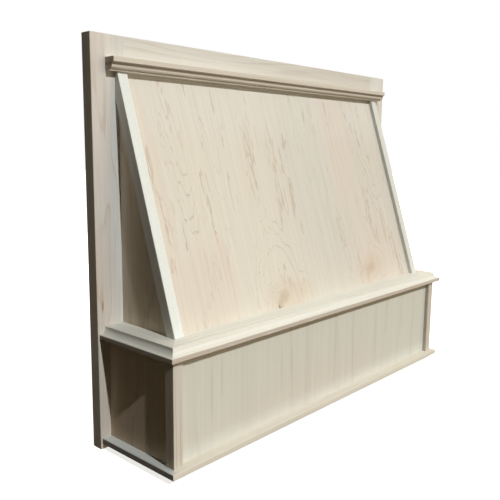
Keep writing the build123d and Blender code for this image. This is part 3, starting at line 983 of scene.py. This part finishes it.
class HOODCOVER_OT_apron(bpy.types.Operator):
    """The lower box: three plywood panels between two corner posts"""

    bl_idname = "hood_cover.apron"
    bl_label = "Apron panels and posts"

    def execute(self, context):
        sizes = context.scene.hood_cover_sizes
        front = eased(block("apron_front", apron_low, apron_high), sizes.panel_ease)
        left, top, foot = apron_low.x, apron_high.z, apron_low.z
        wood = maple(
            "maple_apron_front", "Z", "X", 0.6, tone="ash", blush=0.10, blush_scale=(0.5, 9.0),
            silver=0.12, grainy=0.08, jag=0.002, rings=(0.009, 0.13, 0.10, 0.25),
            figure=(0.020, 1.2, 11.0),
            tints=(
                ((foot, -0.050), (0.130, 0.420), "blush", 0.30),
                # Painted shadow: a brown band under the shelf's lip.
                ((top, 0.0), (0.020, BEYOND), "tan", 0.50),
                ((foot, 0.0), (0.035, 2.0), "bleached", 0.22),
                ((top - 0.080, left + 0.074), (0.070, 0.0045), "line", 0.16),
                ((top - 0.060, left + 0.098), (0.055, 0.0035), "line", 0.16),
                ((top - 0.090, left + 0.262), (0.070, 0.0050), "line", 0.14),
                ((top - 0.080, left + 0.292), (0.045, 0.0040), "line", 0.14),
                ((top - 0.100, left + 0.345), (0.160, 0.0140), "line", 0.09),
                ((top - 0.090, left + 0.440), (0.120, 0.0060), "line", 0.10),
                ((top - 0.080, left + 0.508), (0.110, 0.0050), "line", 0.10),
                ((top - 0.090, left + 0.603), (0.080, 0.0060), "line", 0.12),
                ((top - 0.020, left + 0.720), (0.120, 0.0900), "blush", 0.10),
            ),
        )
        fitted(front, ["front_apron_panel"], wood)
        for hand, side in HANDS:
            panel = eased(block(f"apron_{hand}", *corners_of(f"{hand}_apron_panel")), sizes.panel_ease)
            # The cast and the all-over line are painted shade: the side panels darker and browner.
            wood = maple(
                f"maple_apron_{hand}", "Z", "Y", 0.25 * side, blush=0.6, cast=0.62, jag=0.005,
                rings=(0.011, 0.28, 0.06, 0.25), figure=(0.05, 1.6, 9.0),
                tints=((*ALL_OVER, "line", 0.28),),
            )
            fitted(panel, [f"{hand}_apron_panel"], wood)
            post = eased(block(f"post_{hand}", *corners_of(f"{hand}_corner_post")), sizes.board_ease)
            wood = maple(
                f"maple_post_{hand}", "Z", "X", 0.15 * side, tone="haze", blush=0.35, silver=0.2,
                cast=0.05 if side < 0 else 0.18, rings=(0.0040, 0.45, 0.45, 0.40),
                figure=(0.016, 2.5, 30.0),
                # Painted shade on the post's outer side face.
                tints=(painted_shade_on_face(-side * post_low.x, "line", 0.52),),
            )
            fitted(post, [f"{hand}_corner_post"], wood)
        return {"FINISHED"}


class HOODCOVER_OT_bottom_trim(bpy.types.Operator):
    """The flat trim round the bottom of the box, mitred at the front corners"""

    bl_idname = "hood_cover.bottom_trim"
    bl_label = "Bottom trim"

    def execute(self, context):
        sizes = context.scene.hood_cover_sizes
        front = eased(block("trim_front", trim_low, trim_high), sizes.board_ease)
        for side in SIDES:
            trimmed(front, (side * trim_high.x, trim_low.y, trim_low.z), (side, 1, 0))
        wood = maple(
            "maple_trim_front", "X", "Y", 0.1, blush=0.25, silver=0.1, rings=(0.005, 0.14, 0.5, 0.35)
        )
        fitted(front, ["front_bottom_trim"], wood)
        for hand, side in HANDS:
            board = eased(block(f"trim_{hand}", *corners_of(f"{hand}_bottom_trim")), sizes.board_ease)
            trimmed(board, (side * trim_high.x, trim_low.y, trim_low.z), (-side, -1, 0))
            wood = maple(
                f"maple_trim_{hand}", "Y", "X", 0.3 * side, tone="pewter", blush=0.0, silver=0.1,
                rings=(0.0036, 0.30, 0.6, 0.35),
                # Painted shade on the trim's outer side face.
                tints=(painted_shade_on_face(side * trim_high.x, "streak", 0.54),),
            )
            fitted(board, [f"{hand}_bottom_trim"], wood)
        return {"FINISHED"}


def screw_places():
    """Head place and direction of each cleat's screws, by the cleat's node."""
    end = bpy.context.scene.hood_cover_sizes.screw_end
    places = {}
    low, high = corners_of("front_shelf_cleat")
    long_x = spread(4, low.x + end, high.x - end)
    middle_y = (low.y + high.y) / 2
    places["front_shelf_cleat"] = [((x, middle_y, low.z), (0, 0, 1)) for x in long_x]
    low, high = corners_of("front_liner_rail")
    places["front_liner_rail"] = [((x, high.y, (low.z + high.z) / 2), (0, -1, 0)) for x in long_x]
    low, high = corners_of("slope_foot_cleat")
    foot_y = (on_slope(0, stock, high.z)[1] + high.y) / 2
    places["slope_foot_cleat"] = [((x, foot_y, high.z), (0, 0, -1)) for x in long_x]
    for hand, side in HANDS:
        low, high = corners_of(f"{hand}_shelf_cleat")
        short_y = spread(2, low.y + end, high.y - end)
        middle_x = (low.x + high.x) / 2
        places[f"{hand}_shelf_cleat"] = [((middle_x, y, low.z), (0, 0, 1)) for y in short_y]
        low, high = corners_of(f"{hand}_liner_rail")
        inner, middle_z = low.x if side > 0 else high.x, (low.z + high.z) / 2
        places[f"{hand}_liner_rail"] = [((inner, y, middle_z), (side, 0, 0)) for y in short_y]
        low, high = corners_of(f"{hand}_rear_cleat")
        heights = spread(2, low.z + end, high.z - end)
        places[f"{hand}_rear_cleat"] = [((middle_x, low.y, z), (0, 1, 0)) for z in heights]
    return places


SCREWS_IN = {
    "screws_shelf": ("shelf_screws", ("front_shelf_cleat", "left_shelf_cleat", "right_shelf_cleat")),
    "screws_liner": ("liner_rail_screws", ("front_liner_rail", "left_liner_rail", "right_liner_rail")),
    "screws_rear": ("rear_cleat_screws", ("left_rear_cleat", "right_rear_cleat")),
    "screws_foot": ("foot_cleat_screws", ("slope_foot_cleat",)),
}


# Axes along and across the grain of the cleats on both sides.
GRAINS = {"shelf_cleat": "YX", "liner_rail": "YX", "corner_block": "ZX", "rear_cleat": "ZX"}


def countersinks(piece, places):
    """Cut the seats of the countersunk heads into a cleat."""
    sizes = bpy.context.scene.hood_cover_sizes
    for place, direction in places:
        put_down()
        depth = (sizes.screw_head_height - SEAT_LIP) / 2
        bpy.ops.mesh.primitive_cone_add(
            vertices=DRILL_FACES,
            radius1=sizes.screw_head + SEAT_GAP + SEAT_LIP,
            radius2=sizes.screw_radius + SEAT_GAP,
            depth=sizes.screw_head_height + SEAT_LIP,
            location=Vector(place) + Vector(direction) * depth,
            rotation=facing(direction),
        )
        drilled(piece, settled("cutter"))


class HOODCOVER_OT_cleats(bpy.types.Operator):
    """The sawn cleats, blocks and liner rails inside"""

    bl_idname = "hood_cover.cleats"
    bl_label = "Cleats inside"

    def execute(self, context):
        sizes = context.scene.hood_cover_sizes
        places = screw_places()
        straight = {"front_shelf_cleat": "XY", "front_liner_rail": "XY"}
        straight |= {f"{hand}_{kind}": GRAINS[kind] for hand, _ in HANDS for kind in GRAINS}
        middle, hole_x, spacing, radius = bolt_pattern("liner_screws")
        hole_at = {f"{hand}_liner_rail": side * hole_x for hand, side in HANDS}
        for number, (node, (grain, across)) in enumerate(straight.items()):
            piece = eased(block(f"inner_{node}", *corners_of(node)), sizes.cleat_ease, 2)
            countersinks(piece, places.get(node, ()))
            if node in hole_at:
                for y in (middle.y - spacing, middle.y + spacing):
                    start = (hole_at[node], y, middle.z - LINER_HOLE_DEPTH)
                    drilled(piece, round_cutter(start, (0, 0, 1), radius, LINER_HOLE_DEPTH * 2))
            fitted(piece, [node], sawn(f"sawn_{node}", grain, across, 0.37 * number))
        self.slanted(sizes, places)
        return {"FINISHED"}

    def slanted(self, sizes, places):
        """The cleats that are cut to the slope."""
        for node, seed in (("slope_head_cleat", 4.4), ("slope_foot_cleat", 5.2)):
            low, high = corners_of(node)
            first, last = (high.z, low.z) if node == "slope_head_cleat" else (low.z, high.z)
            strokes = [
                (low.x, high.y, first),
                (low.x, high.y, last),
                on_slope(low.x, stock, last),
                on_slope(low.x, stock, first),
            ]
            piece = drawn(f"inner_{node}", strokes, sweep=(high.x - low.x, 0, 0))
            eased(piece, sizes.cleat_ease, 2)
            countersinks(piece, places.get(node, ()))
            fitted(piece, [node], sawn(f"sawn_{node}", "X", "Y", seed))
        cleat = high.z - low.z
        for hand, side in HANDS:
            node = f"{hand}_slope_cleat"
            low, high = corners_of(node)
            x = high.x if side > 0 else low.x
            strokes = [
                on_slope(x, stock + cleat, shelf_top),
                (x, frame_face, high.z),
                on_slope(x, stock, high.z),
                on_slope(x, stock, shelf_top),
            ]
            piece = drawn(f"inner_{node}", strokes, sweep=(-side * (high.x - low.x), 0, 0))
            eased(piece, sizes.cleat_ease, 2)
            wood = sawn(f"sawn_{node}", "Z", "X", 1.1 * side, tilt=lean)
            fitted(piece, [node], wood)


class HOODCOVER_OT_fasteners(bpy.types.Operator):
    """The wood screws of the cleats and the pocket screws of the frame"""

    bl_idname = "hood_cover.fasteners"
    bl_label = "Screws"

    def execute(self, context):
        sizes = context.scene.hood_cover_sizes
        steel = zinc("zinc_plated")
        places = screw_places()
        wood_screw = screw("wood_screw", sizes.screw_head, sizes.screw_head_height, 0.12)
        for name, (node, cleats) in SCREWS_IN.items():
            seats = [seat for cleat in cleats for seat in places[cleat]]
            copies = [driven(wood_screw, *seat, name) for seat in seats]
            fitted(joined(name, copies), [node], steel)
        bpy.data.objects.remove(wood_screw)
        pocket_screw = screw("pocket_screw", POCKET_HEAD_RADIUS, POCKET_HEAD_HEIGHT, 0.75)
        copies = [driven(pocket_screw, *seat, "screws_pocket") for seat in pocket_seats(sizes)]
        fitted(joined("screws_pocket", copies), ["pocket_screws"], steel)
        bpy.data.objects.remove(pocket_screw)
        return {"FINISHED"}


def lamp(kind, name, place, direction, strength):
    """A lamp at a place, which shines along the direction."""
    put_down()
    bpy.ops.object.light_add(type=kind, location=place)
    light = bpy.context.object
    light.name = name
    light.data.energy = strength
    light.rotation_euler = Vector(direction).to_track_quat("-Z", "Y").to_euler()
    return light.data


class HOODCOVER_OT_stage(bpy.types.Operator):
    """The pale floor, the lights and the camera"""

    bl_idname = "hood_cover.stage"
    bl_label = "Stage"

    def execute(self, context):
        stage = context.scene.hood_cover_stage
        context.scene.view_settings.view_transform = "Standard"
        self.floor(context.scene.hood_cover_colours)
        self.world(context, stage)
        key = lamp("SUN", "key_light", KEY_PLACE, KEY_DIRECTION, stage.sun_strength)
        key.angle = stage.sun_angle
        key.color = KEY_COLOUR
        back = lamp("AREA", "back_light", BACK_PLACE, BACK_DIRECTION, BACK_STRENGTH)
        back.shape = "DISK"
        back.size = BACK_SIZE
        put_down()
        bpy.ops.object.camera_add(location=stage.camera_place, rotation=stage.camera_turn)
        camera = context.object
        camera.name = "camera"
        camera.data.lens = stage.lens
        camera.data.sensor_width = SENSOR_WIDTH
        context.scene.camera = camera
        return {"FINISHED"}

    def floor(self, colours):
        """A wide floor under the feet: white to the camera but for the soft shadow."""
        put_down()
        bpy.ops.mesh.primitive_plane_add(size=FLOOR_SIZE, location=(0, 0, stile_low.z))
        floor = bpy.context.object
        floor.name = "floor"
        material, graph = new_material("pale_floor")
        matte = graph.add("ShaderNodeBsdfDiffuse", values={"Color": (*colours.floor, 1)})
        glow = graph.add("ShaderNodeEmission", values={"Color": (1, 1, 1, 1), "Strength": FLOOR_GLOW})
        bright = graph.add("ShaderNodeAddShader", values={0: matte, 1: glow})
        graph.seen("ShaderNodeOutputMaterial", graph.add("ShaderNodeBsdfTransparent"), bright)
        floor.data.materials.append(material)

    def world(self, context, stage):
        """White to the camera. Its light comes from the front, the right and above."""
        world = bpy.data.worlds.new("soft_light")
        context.scene.world = world
        graph = Graph(world)
        direction = graph.add("ShaderNodeTexCoord", output="Generated")
        parts = graph.add("ShaderNodeSeparateXYZ", values={"Vector": direction})
        right = graph.rise(parts.out("X"), *SKY_SIDES)
        above = graph.rise(parts.out("Z"), *SKY_HEIGHTS)
        strength = (right * (1 - SKY_LEAST) + SKY_LEAST) * (above * (1 - SKY_BELOW) + SKY_BELOW)
        tone = graph.mix(right, SKY_LEFT, graph.mix(above, SKY_LOW, SKY_HIGH))
        values = {"Color": tone, "Strength": strength * stage.sky_strength}
        soft = graph.add("ShaderNodeBackground", values=values)
        white = graph.add("ShaderNodeBackground", values={"Color": (1, 1, 1, 1), "Strength": 1.0})
        graph.seen("ShaderNodeOutputWorld", soft, white)


class HOODCOVER_PT_panel(bpy.types.Panel):
    """Sizes, colours and the buttons that build each group of pieces"""

    bl_label = "Hood Cover"
    bl_idname = "HOODCOVER_PT_panel"
    bl_space_type = "VIEW_3D"
    bl_region_type = "UI"
    bl_category = "Hood Cover"

    def draw(self, context):
        for settings in GROUPS:
            group = getattr(context.scene, settings)
            column = self.layout.column(align=True)
            for name in group.bl_rna.properties.keys():
                if name not in ("rna_type", "name"):
                    column.prop(group, name)
        column = self.layout.column(align=True)
        for operator in OPERATORS:
            column.operator(operator.bl_idname)


OPERATORS = (
    HOODCOVER_OT_stiles,
    HOODCOVER_OT_top_rail,
    HOODCOVER_OT_crown,
    HOODCOVER_OT_cheeks,
    HOODCOVER_OT_slope_panel,
    HOODCOVER_OT_shelf,
    HOODCOVER_OT_apron,
    HOODCOVER_OT_bottom_trim,
    HOODCOVER_OT_cleats,
    HOODCOVER_OT_fasteners,
    HOODCOVER_OT_stage,
)
GROUPS = {
    "hood_cover_sizes": HoodCoverSizes,
    "hood_cover_colours": HoodCoverColours,
    "hood_cover_stage": HoodCoverStage,
}


def register():
    """Register the classes and attach the settings to the scene."""
    for group in (*GROUPS.values(), *OPERATORS, HOODCOVER_PT_panel):
        bpy.utils.register_class(group)
    for name, group in GROUPS.items():
        setattr(bpy.types.Scene, name, PointerProperty(type=group))


def unregister():
    """Take the settings and the classes away again."""
    for name in GROUPS:
        delattr(bpy.types.Scene, name)
    for group in reversed((*GROUPS.values(), *OPERATORS, HOODCOVER_PT_panel)):
        bpy.utils.unregister_class(group)


def main():
    """Build the hood cover and its stage."""
    register()
    for operator in OPERATORS:
        group, name = operator.bl_idname.split(".")
        getattr(getattr(bpy.ops, group), name)()


if __name__ == "__main__":
    main()
